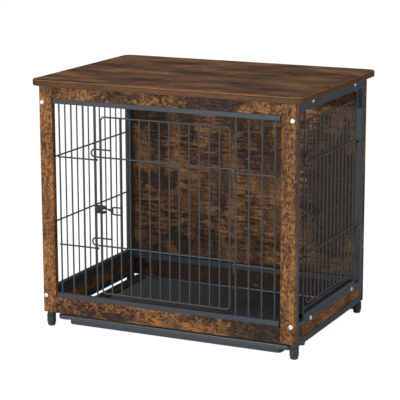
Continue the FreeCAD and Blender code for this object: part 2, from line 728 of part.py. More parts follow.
def make_latch(side, half_width, first, height, put):
    """A plate on the door's free edge, with a guide behind the door for a sliding bolt. The
    bolt is one bent wire: a straight tip behind the door, a step out between two wires, and a
    flat loop in front to pull it by. It is drawn back here, just clear of the fixed wire."""
    plate_back = "(%s + Sizes.bar_wire / 2)" % door_plane
    plate_front = "(%s + Sizes.latch_plate_thick)" % plate_back
    bolt_plane = "((Sizes.bar_wire + Sizes.bolt_wire) / 2 + Sizes.bolt_gap)"
    back_run = "(%s - %s + Sizes.bolt_past_frame)" % (first, half_width)
    loop_plane = "(%s + Sizes.bolt_wire / 2 + Sizes.bolt_gap)" % plate_front
    tip = "(-%s + Sizes.bar_wire / 2 + Sizes.bolt_start)" % first
    bore = "Sizes.bolt_wire + 2 * Sizes.bolt_clearance"
    tube_size = "(%s + 2 * Sizes.latch_guide_wall)" % bore
    right = "-%s + Sizes.latch_guide_length" % half_width

    plate = new_body(side + "_latch_plate")
    outline = sketch_in(plate, "XZ_Plane", "%s - Sizes.latch_plate_length" % right,
                        "%s - Sizes.latch_plate_height / 2" % height, plate_back)
    draw_rounded(outline, "Sizes.latch_plate_length", "Sizes.latch_plate_height", "Sizes.latch_plate_corner")
    pad(plate, outline, "Sizes.latch_plate_thick")
    web = sketch_in(plate, "XY_Plane", "%s + Sizes.latch_web_gap - Sizes.bolt_start" % tip,
                    "-" + plate_front, "%s - Sizes.latch_web_thick / 2" % height)
    draw_rectangle(web, "Sizes.latch_web", "%s + %s" % (plate_front, bolt_plane))
    pad(plate, web, "Sizes.latch_web_thick", "web")
    guide = sketch_in(plate, "YZ_Plane", bolt_plane, height, "%s + Sizes.bolt_start" % tip)
    draw_circle(guide, tube_size)
    pad(plate, guide, "Sizes.latch_guide_length", "guide")
    drill(plate, "YZ_Plane", bore, "Sizes.latch_plate_length", [(bolt_plane, height, tip)], backwards=True)
    slot_height = "Sizes.bolt_wire + 2 * Sizes.bolt_gap"
    slot = sketch_in(plate, "XZ_Plane", "-%s + Sizes.bar_wire / 2 + Sizes.bolt_clearance" % half_width,
                     "%s - (%s) / 2" % (height, slot_height), plate_back)
    draw_rectangle(slot, "Sizes.latch_plate_length", slot_height)
    doc.recompute()
    before = plate.Shape.Volume
    cut = plate.newObject("PartDesign::Pocket", side + "_latch_slot")
    cut.Profile = slot
    cut.Reversed = True
    cut.setExpression("Length", "Sizes.latch_plate_thick")
    doc.recompute()
    if before - plate.Shape.Volume < 1.0:
        raise RuntimeError("the latch slot cuts nothing")
    put(plate)

    bolt = new_body(side + "_latch_bolt")
    depth = "(%s + %s)" % (bolt_plane, loop_plane)
    back = amount(back_run)
    total = amount(depth)
    bend = amount("Sizes.bolt_bend")
    run = amount("Sizes.handle_run")
    flat = FreeCAD.Vector(0, 0, 1)
    path = sketch_in(bolt, "XY_Plane", tip, "-" + loop_plane, height)
    path.addGeometry(Part.LineSegment(FreeCAD.Vector(0, total, 0), FreeCAD.Vector(back - bend, total, 0)))
    path.addGeometry(Part.ArcOfCircle(Part.Circle(FreeCAD.Vector(back - bend, total - bend, 0), flat, bend),
                                      0.0, math.radians(90)))
    path.addGeometry(Part.LineSegment(FreeCAD.Vector(back, total - bend, 0), FreeCAD.Vector(back, bend, 0)))
    path.addGeometry(Part.ArcOfCircle(Part.Circle(FreeCAD.Vector(back + bend, bend, 0), flat, bend),
                                      math.radians(180), math.radians(270)))
    path.addGeometry(Part.LineSegment(FreeCAD.Vector(back + bend, 0, 0), FreeCAD.Vector(back + run, 0, 0)))
    path.addConstraint(Sketcher.Constraint("Tangent", 0, 2, 1, 2))
    path.addConstraint(Sketcher.Constraint("Tangent", 1, 1, 2, 1))
    path.addConstraint(Sketcher.Constraint("Tangent", 2, 2, 3, 1))
    path.addConstraint(Sketcher.Constraint("Tangent", 3, 2, 4, 1))
    path.addConstraint(Sketcher.Constraint("Horizontal", 0))
    path.addConstraint(Sketcher.Constraint("Vertical", 2))
    path.addConstraint(Sketcher.Constraint("Horizontal", 4))
    path.addConstraint(Sketcher.Constraint("Equal", 1, 3))
    path.addConstraint(Sketcher.Constraint("PointOnObject", 0, 1, -2))
    path.addConstraint(Sketcher.Constraint("PointOnObject", 4, 2, -1))
    size_by(path, Sketcher.Constraint("Radius", 1, bend), "Sizes.bolt_bend")
    size_by(path, Sketcher.Constraint("DistanceY", -1, 1, 0, 1, total), depth)
    size_by(path, Sketcher.Constraint("DistanceX", -1, 1, 2, 1, back), back_run)
    size_by(path, Sketcher.Constraint("DistanceX", 2, 1, 4, 2, run), "Sizes.handle_run")
    section = sketch_in(bolt, "YZ_Plane", bolt_plane, height, tip)
    draw_circle(section, "Sizes.bolt_wire")
    rod = bolt.newObject("PartDesign::AdditivePipe", side + "_latch_rod")
    rod.Profile = section
    rod.Spine = (path, ["Edge%d" % i for i in range(1, 6)])
    left = "%s + %s + Sizes.handle_run" % (tip, back_run)
    across = "(Sizes.handle_length - Sizes.bolt_wire)"
    tall = "(Sizes.handle_height - Sizes.bolt_wire)"
    loop = sketch_in(bolt, "XZ_Plane", left, "%s - %s / 2" % (height, tall), loop_plane)
    draw_rounded(loop, across, tall, "Sizes.handle_corner")
    section = sketch_in(bolt, "YZ_Plane", "-" + loop_plane, "%s - %s / 2" % (height, tall),
                        "%s + Sizes.handle_corner" % left)
    draw_circle(section, "Sizes.bolt_wire")
    ring = bolt.newObject("PartDesign::AdditivePipe", side + "_latch_loop")
    ring.Profile = section
    ring.Spine = (loop, ["Edge%d" % i for i in range(1, 9)])
    put(bolt)


# ---- Tray and its runners ----

tray_rim_low = "(Sizes.tray_rim_top - Sizes.tray_rim_height)"
tray_front = "(%s + Sizes.tray_front_setback)" % front
tray_length = "(2 * (%s - Sizes.tray_side_gap))" % inner_half
tray_depth = "(%s - Sizes.tray_rear_gap - %s)" % (rear, tray_front)
pan_length = "(%s - 2 * Sizes.tray_rim_width)" % tray_length
pan_depth = "(%s - 2 * Sizes.tray_rim_width)" % tray_depth


def make_tray():
    """A moulded tray: a hollow turned-down rim, a shallow pan, and ribs from front to back."""
    body = new_body("tray")
    rim = sketch_in(body, "XY_Plane", "0", "0", tray_rim_low)
    draw_rounded(rim, tray_length, tray_depth, "Sizes.tray_corner")
    pad(body, rim, "Sizes.tray_rim_height", "rim")
    inset = "Sizes.tray_rim_width"
    pan = sketch_in(body, "XY_Plane", inset, inset, tray_rim_low)
    draw_rounded(pan, pan_length, pan_depth, "Sizes.tray_pan_corner")
    pad(body, pan, "%s - Sizes.tray_under" % tray_rim_low, "pan", backwards=True)
    body.Tip.TaperAngle = -amount("Sizes.tray_draft")
    wall = "Sizes.tray_wall"
    under = sketch_in(body, "XY_Plane", wall, wall, tray_rim_low)
    draw_rounded(under, "%s - 2 * %s" % (tray_length, wall), "%s - 2 * %s" % (tray_depth, wall),
                 "Sizes.tray_corner - %s" % wall)
    hollow = body.newObject("PartDesign::Pocket", "tray_under_rim")
    hollow.Profile = under
    hollow.Reversed = True
    hollow.setExpression("Length", "Sizes.tray_rim_height - Sizes.tray_wall")
    core = sketch_in(body, "XY_Plane", inset, inset, tray_rim_low)
    draw_rounded(core, pan_length, pan_depth, "Sizes.tray_pan_corner")
    pad(body, core, "Sizes.tray_rim_height", "core")
    inner = "(Sizes.tray_rim_width + Sizes.tray_wall)"
    deep = "(%s - 2 * %s)" % (pan_depth, wall)
    wide = "(%s - 2 * %s)" % (pan_length, wall)
    floor = "(Sizes.tray_under + Sizes.tray_wall)"
    cavity = sketch_in(body, "XY_Plane", inner, inner, "Sizes.tray_rim_top")
    draw_rounded(cavity, wide, deep, "Sizes.tray_pan_corner - %s" % wall)
    hollow = body.newObject("PartDesign::Pocket", "tray_cavity")
    hollow.Profile = cavity
    hollow.setExpression("Length", "Sizes.tray_rim_top - %s" % floor)
    count = int(amount("%s / Sizes.rib_pitch" % wide)) - 1
    first = "%s / 2 - Sizes.rib_pitch * %g - Sizes.rib_width / 2" % (tray_length, (count - 1) / 2.0)
    rib = sketch_in(body, "XY_Plane", first, inner, floor)
    draw_rectangle(rib, "Sizes.rib_width", deep)
    ridge = pad(body, rib, "Sizes.tray_rim_top - Sizes.rib_below_rim - %s" % floor, "rib")
    repeat(body, ridge, rib, "Sizes.rib_pitch", count)
    locate(body, "-%s / 2" % tray_length, tray_front, "0")


def make_runners():
    """A bent strap under each side of the tray rim, hung from the bottom rail at two places."""
    shelf_low = "(%s - Sizes.runner_thick)" % tray_rim_low
    outer = "(%s / 2 + Sizes.runner_side_gap)" % tray_length
    start = "(%s + Sizes.runner_setback)" % tray_front
    length = "(%s - %s)" % (inner_rear, start)
    reach = "(%s + Sizes.runner_hanger_inset - %s)" % (inner_half, outer)
    tabs = ("(-Sizes.runner_tab_place - %s)" % start,
            "(%s - Sizes.runner_hanger - Sizes.runner_tab_setback)" % length)
    for side, sign in (("left", -1), ("right", 1)):
        body = new_body("tray_runner_" + side)
        flat = sketch_in(body, "XY_Plane")
        draw_rectangle(flat, "Sizes.runner_shelf + Sizes.runner_side_gap", length)
        pad(body, flat, "Sizes.runner_thick")
        for tab in tabs:
            arm_left = "Sizes.runner_shelf + Sizes.runner_side_gap" if sign > 0 else "-" + reach
            arm = sketch_in(body, "XY_Plane", arm_left, tab)
            draw_rectangle(arm, reach, "Sizes.runner_hanger")
            pad(body, arm, "Sizes.runner_thick", "arm")
            end = "%s + %s - Sizes.runner_thick" % (arm_left, reach) if sign > 0 else arm_left
            post = sketch_in(body, "XY_Plane", end, tab)
            draw_rectangle(post, "Sizes.runner_thick", "Sizes.runner_hanger")
            pad(body, post, "Sizes.frame_clear - %s" % shelf_low, "hanger")
        left = "-%s" % outer if sign < 0 else "%s - Sizes.runner_shelf - Sizes.runner_side_gap" % outer
        locate(body, left, start, shelf_low)


# ---- Feet ----

def make_feet():
    """A plastic foot plugged into each post, and a levelling glide whose stem runs in it."""
    columns = {"left": "-%s" % screw_column, "right": screw_column}
    rows = {"front": "(%s + Sizes.post_side / 2)" % post_front,
            "rear": "(%s + Sizes.post_side / 2)" % inner_rear}
    glide_top = "(Sizes.frame_clear - Sizes.foot_height)"
    plug = "(Sizes.post_side - 2 * Sizes.tube_wall - 2 * Sizes.foot_plug_clearance)"
    for end, y in rows.items():
        for side, x in columns.items():
            foot = new_body("%s_%s_foot" % (end, side))
            collar = sketch_in(foot, "XY_Plane", "0", "0", glide_top)
            draw_circle(collar, "Sizes.foot_diameter")
            pad(foot, collar, "Sizes.foot_height", "collar")
            square = sketch_in(foot, "XY_Plane", "-%s / 2" % plug, "-%s / 2" % plug, "Sizes.frame_clear")
            draw_rectangle(square, plug, plug)
            pad(foot, square, "Sizes.foot_plug", "plug")
            drill(foot, "XY_Plane", "Sizes.stem_diameter + 2 * Sizes.stem_clearance",
                  "Sizes.stem_length + Sizes.stem_top_room", [("0", "0", glide_top)], backwards=True)
            locate(foot, x, y, "0")
            glide = new_body("%s_%s_glide" % (end, side))
            disc = sketch_in(glide, "XY_Plane")
            draw_circle(disc, "Sizes.glide_diameter")
            pad(glide, disc, glide_top, "disc")
            ease_edges(glide, "Sizes.glide_ease", lambda edge: edge.BoundBox.ZMax < 0.01, "Chamfer")
            stem = sketch_in(glide, "XY_Plane", "0", "0", glide_top)
            draw_circle(stem, "Sizes.stem_diameter")
            pad(glide, stem, "Sizes.stem_length", "stem")
            locate(glide, x, y, "0")


end_screw_high = "%s - Sizes.end_screw_drop" % under_top
front_screw_levels = ("Sizes.end_screw_low", end_screw_high)
back_screw_levels = ("Sizes.end_screw_low", "Sizes.back_screw_mid", end_screw_high)
side_screw_rows = ("-Sizes.side_screw_front", "Sizes.side_screw_rear")
top_screw_rows = ("(%s - Sizes.top_screw_reach)" % middle_y, "(%s + Sizes.top_screw_reach)" % middle_y)

make_top_board()
make_front_boards()
make_back_board()
make_side_boards()
make_posts()
make_side_rails()
make_beams()
make_front_rails()
make_screws()
make_front_panels()
make_left_panel()
make_side_panels()
to_front(make_door("front_door", front_door_half, "Sizes.front_door_gaps", front_door_low,
                   front_door_high, front_first, front_crosses))
to_right(make_door("side_door", side_door_half, "Sizes.side_door_gaps", side_door_low,
                   side_door_high, side_first, side_crosses))
make_latch("front", front_door_half, front_first, "(%s + Sizes.front_latch_rise)" % front_opening_low,
           to_front)
make_latch("side", side_door_half, side_first, "(%s + Sizes.side_latch_rise)" % sill_top, to_right)
make_tray()
make_runners()
make_feet()


def finished_nodes():
    """Every sub-part: bodies and groups that no other object uses."""
    kinds = ("PartDesign::Body", "Part::Compound")
    return [thing for thing in doc.Objects if thing.TypeId in kinds]


doc.recompute()
for thing in doc.Objects:
    faults = [word for word in thing.State if word in ("Invalid", "Error")]
    if faults:
        raise RuntimeError("%s is %s" % (thing.Label, faults))
os.makedirs("parts", exist_ok=True)
for node in finished_nodes():
    if node.Shape.isNull() or not node.Shape.isValid():
        raise RuntimeError("%s has no valid shape" % node.Label)
for node in finished_nodes():
    node.Shape.exportStep("parts/%s.step" % node.Label)
    print("%-22s %2d solids %10.1f mm3" % (node.Label, len(node.Shape.Solids), node.Shape.Volume))
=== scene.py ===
import math

import bpy
import numpy as np
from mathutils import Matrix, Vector


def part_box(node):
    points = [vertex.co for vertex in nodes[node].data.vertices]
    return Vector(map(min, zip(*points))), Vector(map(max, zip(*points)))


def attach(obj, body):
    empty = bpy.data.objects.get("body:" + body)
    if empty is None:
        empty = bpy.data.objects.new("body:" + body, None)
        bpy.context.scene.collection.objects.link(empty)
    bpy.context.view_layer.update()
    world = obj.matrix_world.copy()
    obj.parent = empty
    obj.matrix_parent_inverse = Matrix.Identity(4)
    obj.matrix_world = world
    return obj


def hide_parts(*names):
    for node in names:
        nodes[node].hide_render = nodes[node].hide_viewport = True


# Dog crate end table: wooden boards on a dark steel frame, wire sides, two wire doors.
# Metres, origin on the floor under the middle of the table top, +X right, +Y back, +Z up.

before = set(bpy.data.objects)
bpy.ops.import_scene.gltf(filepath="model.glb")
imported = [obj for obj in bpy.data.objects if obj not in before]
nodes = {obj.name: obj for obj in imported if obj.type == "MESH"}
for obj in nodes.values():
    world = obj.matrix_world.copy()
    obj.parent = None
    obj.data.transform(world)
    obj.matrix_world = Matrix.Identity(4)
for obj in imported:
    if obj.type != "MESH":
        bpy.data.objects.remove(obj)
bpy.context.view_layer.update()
print("frame loaded:", len(nodes), "nodes")


class Signal:
    # a socket that can be added, multiplied and so on: each operator adds one Math node
    def __init__(self, finish, socket):
        self.finish = finish
        self.socket = socket

    def math(self, operation, first, second):
        return self.finish.node("ShaderNodeMath", {"operation": operation}, {0: first, 1: second})

    def __add__(self, other):
        return self.math("ADD", self, other)

    def __radd__(self, other):
        return self.math("ADD", other, self)

    def __sub__(self, other):
        return self.math("SUBTRACT", self, other)

    def __rsub__(self, other):
        return self.math("SUBTRACT", other, self)

    def __mul__(self, other):
        return self.math("MULTIPLY", self, other)

    def __rmul__(self, other):
        return self.math("MULTIPLY", other, self)

    def __truediv__(self, other):
        return self.math("DIVIDE", self, other)

    def __rtruediv__(self, other):
        return self.math("DIVIDE", other, self)


class Finish:
    # one material round a surface shader; node() adds any node: its type, settings and inputs
    def __init__(self, name):
        self.data = bpy.data.materials.new(name)
        self.data.use_nodes = True
        self.tree = self.data.node_tree
        self.tree.nodes.clear()
        self.shader = self.tree.nodes.new("ShaderNodeBsdfPrincipled")
        output = self.tree.nodes.new("ShaderNodeOutputMaterial")
        self.tree.links.new(self.shader.outputs[0], output.inputs["Surface"])
        self.place = self.node("ShaderNodeTexCoord", output="Object")

    def node(self, kind, settings=None, inputs=None, output=0):
        made = self.tree.nodes.new(kind)
        for name, value in (settings or {}).items():
            if name == "stops":
                stops = made.color_ramp.elements
                while len(stops) < len(value):
                    stops.new(0.5)
                for stop, (position, colour) in zip(stops, value):
                    stop.position = position
                    stop.color = colour
            else:
                setattr(made, name, value)
        for key, value in (inputs or {}).items():
            self.feed(made.inputs[key], value)
        return Signal(self, made.outputs[output])

    def feed(self, socket, value):
        if isinstance(value, Signal):
            self.tree.links.new(value.socket, socket)
        else:
            socket.default_value = value

    def put(self, **inputs):
        # sockets of the surface shader, by name with an underscore for each space
        for name, value in inputs.items():
            self.feed(self.shader.inputs[name.replace("_", " ")], value)

    def noise(self, place, scale, detail, roughness=0.55):
        return self.node("ShaderNodeTexNoise", {},
                         {"Vector": place, "Scale": scale, "Detail": detail, "Roughness": roughness})

    def stretch(self, place, scale, offset=(0.0, 0.0, 0.0)):
        return self.node("ShaderNodeMapping", {}, {"Vector": place, "Scale": scale, "Location": offset})

    def step(self, value, low, high):
        # 0 below low, 1 above high, a smooth rise between
        return self.node("ShaderNodeMapRange", {"interpolation_type": "SMOOTHSTEP"},
                         {"Value": value, "From Min": low, "From Max": high})

    def between(self, value, low, high, soft):
        # 1 between low and high and 0 outside, each edge as wide as soft
        return self.step(value, low, low + soft) * (1.0 - self.step(value, high, high + soft))

    def blend(self, amount, first, second):
        return self.node("ShaderNodeMix", {"data_type": "RGBA"}, {0: amount, 6: first, 7: second}, 2)

    def bump(self, height, distance, strength):
        return self.node("ShaderNodeBump", {},
                         {"Height": height, "Distance": distance, "Strength": strength})


def tone(red, green, blue):
    # a screen colour, 0 to 255, as the light values that a shader wants, by the sRGB curve
    return tuple((c / 255.0 / 12.92) if c < 10.3 else ((c / 255.0 + 0.055) / 1.055) ** 2.4
                 for c in (red, green, blue)) + (1.0,)


# each kind of mark: its size along and across the grain, how fine and how rough its noise is, and
# how far that noise is moved, so that no two kinds follow each other
woodMarks = {
    "patch": dict(size=(0.150, 0.055), detail=5.0, roughness=0.62, shift=1.3),
    "burn": dict(size=(0.120, 0.060), detail=5.0, roughness=0.65, shift=4.7),
    "streak": dict(size=(0.070, 0.0050), detail=3.0, roughness=0.60, shift=2.2),
    "curl": dict(size=(0.0095, 0.0038), detail=3.0, roughness=0.65, shift=5.5),
    "speckle": dict(size=(0.0065, 0.0045), detail=3.0, roughness=0.70, shift=3.9),
    "saw": dict(size=(0.0056, 0.034), detail=2.0, roughness=0.60, shift=8.3),
    "sawArea": dict(size=(0.140, 0.160), detail=2.0, roughness=0.50, shift=2.7),
    "wander": dict(size=(0.060, 0.060), detail=2.0, roughness=0.50, shift=6.1),
}

# how the marks are put together on every board
woodMix = {
    "toneStops": (0.20, 0.42, 0.58, 0.84),  # where the four tones of a board sit on its ramp
    "streakWander": 0.05,             # metres that the wandering noise bends a streak by
    "placeWanderAlong": 0.10,          # and a chosen dark place (a burn, or painted shade), along the grain and across it
    "placeWanderAcross": 0.02,
    "sawEdge": (0.34, 0.56),          # noise at which saw marks start to show, and are full
    "burnSpeckle": 0.30,
    "placeFade": (0.2, 1.6),           # a chosen place is full up to the first, gone past the second
    "placeWeight": 0.22,
    "charAndShadeEdge": (0.56, 0.70),         # noise plus places at which the wood starts to char or take painted shade, and is full dark
    "charAndShadeMixEdge": (0.42, 0.68),
    "charAndShadeTones": (tone(26, 20, 17), tone(74, 52, 35)),
    "roughness": 0.60,
    "roughnessSpan": 0.25,
    "bumpHeight": 0.0004,
    "bumpStrength": 0.30,
    "specular": 0.20,
}

# what differs from board to board: the axes along, across and through the grain, how strong each
# mark is (burn also sets the painted shade), the tones from dark to light, and the chosen dark places as
# (along, across, half length, half width): burnt patches, and on the back board first a band of painted shade
# along its bottom under the beam; the top also has an edge, banded along the axis named
woodLooks = {
    "tableTop": dict(order="xyz", seed=3.1, edge="z",
                     patch=1.6, streak=1.2, curl=0.35, speckle=0.25, saw=0.0, burn=0.55,
                     tones=(tone(50, 33, 23), tone(82, 54, 34), tone(112, 74, 43), tone(142, 99, 58)),
                     burnsAndShade=((0.06, 0.10, 0.13, 0.035), (0.0, 0.0, 0.12, 0.022), (-0.20, -0.12, 0.10, 0.020))),
    "levelBoards": dict(order="xzy", seed=7.4,
                        patch=1.1, streak=0.5, curl=1.4, speckle=1.1, saw=0.5, burn=0.94,
                        tones=(tone(32, 21, 14), tone(78, 49, 27), tone(116, 76, 42), tone(160, 112, 64)),
                        burnsAndShade=((0.10, 0.586, 0.12, 0.030), (-0.29, 0.592, 0.03, 0.014),
                               (0.20, 0.060, 0.11, 0.030), (-0.12, 0.052, 0.05, 0.012))),
    "stiles": dict(order="zxy", seed=1.8,
                   patch=0.8, streak=0.5, curl=0.9, speckle=1.4, saw=0.3, burn=0.50,
                   tones=(tone(40, 26, 16), tone(94, 60, 33), tone(134, 89, 50), tone(172, 122, 70)),
                   burnsAndShade=((0.103, 0.303, 0.014, 0.010), (0.590, -0.320, 0.020, 0.020))),
    "backBoard": dict(order="zxy", seed=5.2,
                      patch=1.1, streak=0.2, curl=0.4, speckle=0.9, saw=1.4, burn=0.92,
                      tones=(tone(26, 19, 15), tone(66, 44, 29), tone(104, 70, 43), tone(150, 108, 68)),
                      # the first place is painted shade: a dark band across the board's bottom, under the
                      # beam
                      burnsAndShade=((0.045, 0.0, 0.040, 0.60), (0.133, -0.19, 0.020, 0.05),
                             (0.30, -0.25, 0.022, 0.08), (0.47, -0.29, 0.040, 0.030),
                             (0.28, 0.26, 0.130, 0.09))),
    "sideBoards": dict(order="yzx", seed=9.6,
                       patch=1.2, streak=0.5, curl=1.0, speckle=1.1, saw=0.6, burn=0.60,
                       tones=(tone(32, 21, 14), tone(78, 49, 27), tone(116, 76, 42), tone(160, 112, 64)),
                       burnsAndShade=()),
}

# the slab's edge, in metres below its top: a painted highlight, a thin light stripe along the rounded corner,
# a darker band from there down, and a joint in the band; soft is how wide their edges are, a share how much
# each covers
slabEdge = {
    "lineHigh": 0.0006,
    "lineLow": 0.0024,
    "jointHigh": 0.0032,
    "jointLow": 0.0044,
    "soft": 0.0005,
    "band": tone(84, 56, 32),
    "line": tone(140, 98, 56),
    "joint": tone(42, 28, 18),
    "bandShare": 0.75,
    "lineShare": 0.65,
    "jointShare": 0.80,
}


def addSlabEdge(finish, height, colour):
    # bands by height: a darker band under the corner's painted highlight, a fine light stripe, and a joint
    # within it
    e = slabEdge
    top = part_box("top_board")[1][2]
    bandTop = top - e["lineLow"]
    band = 1.0 - finish.step(height, bandTop, bandTop + e["soft"])
    # painted highlight: a thin light stripe along the slab's rounded corner
    line = finish.between(height, bandTop, top - e["lineHigh"], e["soft"])
    joint = finish.between(height, top - e["jointLow"], top - e["jointHigh"], e["soft"])
    for mask, kind in ((band, "band"), (line, "line"), (joint, "joint")):
        colour = finish.blend(mask * e[kind + "Share"], colour, e[kind])
    return colour


def makeWood(name, look):
    # value = 0.5 + the sum of strength * (noise - 0.5) over the kinds of mark, coloured by a ramp;
    # the saw's noise is short along the grain and long across it and shows in some areas only;
    # darkened where the burns' own noise plus the chosen places is high, as char, or as painted shade at the
    # back board's bottom: a place adds its weight
    # * (1 - smoothstep of (du / half length)^2 + (dv / half width)^2)
    mix = woodMix
    finish = Finish(name)
    parts = {axis: finish.node("ShaderNodeSeparateXYZ", {}, {0: finish.place}, index)
             for index, axis in enumerate("xyz")}
    along, across, through = (parts[axis] for axis in look["order"])
    grain = finish.node("ShaderNodeCombineXYZ", {}, {0: along, 1: across, 2: through})
    seed = look["seed"]

    def marks(kind, place=grain):
        mark = woodMarks[kind]
        length, width = mark["size"]
        shift = mark["shift"]
        scale = (1.0 / length, 1.0 / width, 1.0 / width)
        moved = finish.stretch(place, scale, (seed + shift, seed * shift, shift))
        return finish.noise(moved, 1.0, mark["detail"], mark["roughness"])

    wander = marks("wander") - 0.5
    bent = finish.node("ShaderNodeCombineXYZ", {},
                       {0: along, 1: across + wander * mix["streakWander"], 2: through})
    speckle = marks("speckle") - 0.5
    curl = marks("curl", bent)
    value = 0.5 + (marks("patch") - 0.5) * look["patch"]
    value = value + (marks("streak", bent) - 0.5) * look["streak"]
    value = value + (curl - 0.5) * look["curl"]
    value = value + speckle * look["speckle"]
    if look["saw"]:
        sawArea = finish.step(marks("sawArea"), *mix["sawEdge"])
        value = value + (marks("saw") - 0.5) * sawArea * look["saw"]
    stops = list(zip(mix["toneStops"], look["tones"]))
    colour = finish.node("ShaderNodeValToRGB", {"stops": stops}, {0: value})
    # char and painted shade: the burns' noise plus the chosen places, the back board's first place being
    # painted shade along its bottom
    burntAndShaded = marks("burn") + speckle * mix["burnSpeckle"]
    for u, v, halfLength, halfWidth in look["burnsAndShade"]:
        du = (along + wander * mix["placeWanderAlong"] - u) / halfLength
        dv = (across + wander * mix["placeWanderAcross"] - v) / halfWidth
        burntAndShaded = burntAndShaded + (1.0 - finish.step(du * du + dv * dv, *mix["placeFade"])) * mix["placeWeight"]
    charredAndShaded = finish.step(burntAndShaded, *mix["charAndShadeEdge"])
    charAndShadeColour = finish.blend(finish.step(curl, *mix["charAndShadeMixEdge"]), *mix["charAndShadeTones"])
    colour = finish.blend(charredAndShaded * look["burn"], colour, charAndShadeColour)
    if "edge" in look:
        colour = addSlabEdge(finish, parts[look["edge"]], colour)
    finish.put(Base_Color=colour, Roughness=mix["roughness"] + speckle * mix["roughnessSpan"],
               Normal=finish.bump(value, mix["bumpHeight"], mix["bumpStrength"]),
               Specular_IOR_Level=mix["specular"])
    return finish.data


def shaded(colour, share):
    # a colour made darker or lighter by a share
    return tuple(min(1.0, c * share) for c in colour[:3]) + (1.0,)


# powder coats: colour, roughness, and how many bumps of orange peel there are in a metre
coatLooks = {
    "frameSteel": dict(base=tone(54, 61, 68), roughness=0.44, peel=1400.0),
    "wireSteel": dict(base=tone(62, 65, 64), roughness=0.42, peel=1800.0),
    "latchSteel": dict(base=tone(30, 31, 32), roughness=0.40, peel=1800.0),
}

# what all of them share: the clouds in a metre, how dark and light they go, and the surface
coatSurface = {
    "clouds": 22.0,
    "darker": 0.86,
    "lighter": 1.18,
    "roughnessSpan": 0.16,
    "bumpHeight": 0.0002,
    "bumpStrength": 0.25,
    "specular": 0.30,
}


def makeCoatedSteel(name, base, roughness, peel):
    # powder coat: one dark grey with a fine orange-peel surface and slight cloudiness
    s = coatSurface
    finish = Finish(name)
    cloud = finish.noise(finish.place, s["clouds"], 3.0)
    grit = finish.noise(finish.place, peel, 2.0)
    finish.put(Base_Color=finish.blend(cloud, shaded(base, s["darker"]), shaded(base, s["lighter"])),
               Roughness=roughness + (grit - 0.5) * s["roughnessSpan"],
               Normal=finish.bump(grit, s["bumpHeight"], s["bumpStrength"]),
               Specular_IOR_Level=s["specular"])
    return finish.data


# zinc plate: rub marks in a metre, how much denser they are along Z, and the surface
zincLook = {
    "rubs": 900.0,
    "denser": 6.0,
    "dull": tone(214, 216, 220),
    "bright": tone(246, 247, 250),
    "metallic": 0.35,
    "roughness": 0.26,
    "roughnessSpan": 0.16,
    "bumpHeight": 0.00005,
    "bumpStrength": 0.30,
}


def makeZinc(name):
    # bright zinc plate, finely rubbed by the tumbling drum
    z = zincLook
    finish = Finish(name)
    rub = finish.noise(finish.stretch(finish.place, (1.0, 1.0, z["denser"])), z["rubs"], 2.0)
    finish.put(Base_Color=finish.blend(rub, z["dull"], z["bright"]), Metallic=z["metallic"],
               Roughness=z["roughness"] + rub * z["roughnessSpan"],
               Normal=finish.bump(rub, z["bumpHeight"], z["bumpStrength"]))
    return finish.data


# moulded plastics: colour, roughness and the size of the grain; the ribs' plastic is darker than the tray's,
# painted shade low between the ribs, and its last colour is a painted highlight that the ribs take toward
# their tops, from the first of the two heights, where it starts, to the second, where it is full
plasticLooks = {
    "trayPlastic": dict(base=tone(74, 79, 84), roughness=0.36, grainSize=0.0011),
    # the ribs: a darker copy of the tray's plastic for painted shade between them, paler toward their tops
    # for a painted highlight
    "ribPlastic": dict(base=tone(44, 47, 50), roughness=0.40, grainSize=0.0011,
                       highlightHeights=(0.0150, 0.0232), highlightColour=tone(142, 148, 154)),
    "footPlastic": dict(base=tone(44, 45, 46), roughness=0.45, grainSize=0.0009),
}
plasticSurface = {
    "clouds": 9.0,
    "darker": 0.82,
    "roughnessSpan": 0.20,
    "bumpHeight": 0.00015,
    "bumpStrength": 0.30,
}


def makePlastic(name, base, roughness, grainSize, highlightHeights=None, highlightColour=None):
    # moulded plastic with a fine spark-eroded grain and slight cloudiness
    s = plasticSurface
    finish = Finish(name)
    grain = finish.noise(finish.place, 1.0 / grainSize, 2.0)
    cloud = finish.noise(finish.place, s["clouds"], 2.0)
    colour = finish.blend(cloud, shaded(base, s["darker"]), base)
    if highlightHeights:
        # painted highlight: paler with height, toward the ribs' tops
        height = finish.node("ShaderNodeSeparateXYZ", {}, {0: finish.place}, 2)
        colour = finish.blend(finish.step(height, *highlightHeights), colour, highlightColour)
    finish.put(Base_Color=colour, Roughness=roughness + (grain - 0.5) * s["roughnessSpan"],
               Normal=finish.bump(grain, s["bumpHeight"], s["bumpStrength"]))
    return finish.data


wood = {name: makeWood(name, look) for name, look in woodLooks.items()}
steel = {name: makeCoatedSteel(name, **look) for name, look in coatLooks.items()}
zinc = makeZinc("zinc")
plastic = {name: makePlastic(name, **look) for name, look in plasticLooks.items()}
print("finishes made")


def dress(material, *names):
    for name in names:
        slots = nodes[name].data.materials
        slots.clear()
        slots.append(material)


dress(wood["tableTop"], "top_board")
dress(wood["levelBoards"], "front_top_board", "front_bottom_board")
dress(wood["stiles"], "front_left_stile", "front_right_stile")
dress(wood["backBoard"], "back_board")
dress(wood["sideBoards"], "left_side_board", "right_side_board")
dress(steel["frameSteel"],
      *[name for name in nodes if name.endswith(("_post", "_rail", "_beam", "_sill"))])
dress(steel["frameSteel"], "tray_runner_left", "tray_runner_right")
dress(steel["wireSteel"], *[name for name in nodes if name.endswith(("_wires", "_wire", "_door"))])
dress(steel["latchSteel"], *[name for name in nodes if "_latch_" in name])
dress(plastic["footPlastic"], *[name for name in nodes if name.endswith(("_foot", "_glide"))])
dress(zinc, *[name for name in nodes if name.endswith("_screws")])
dress(plastic["trayPlastic"], "tray")
print("frame pieces dressed")


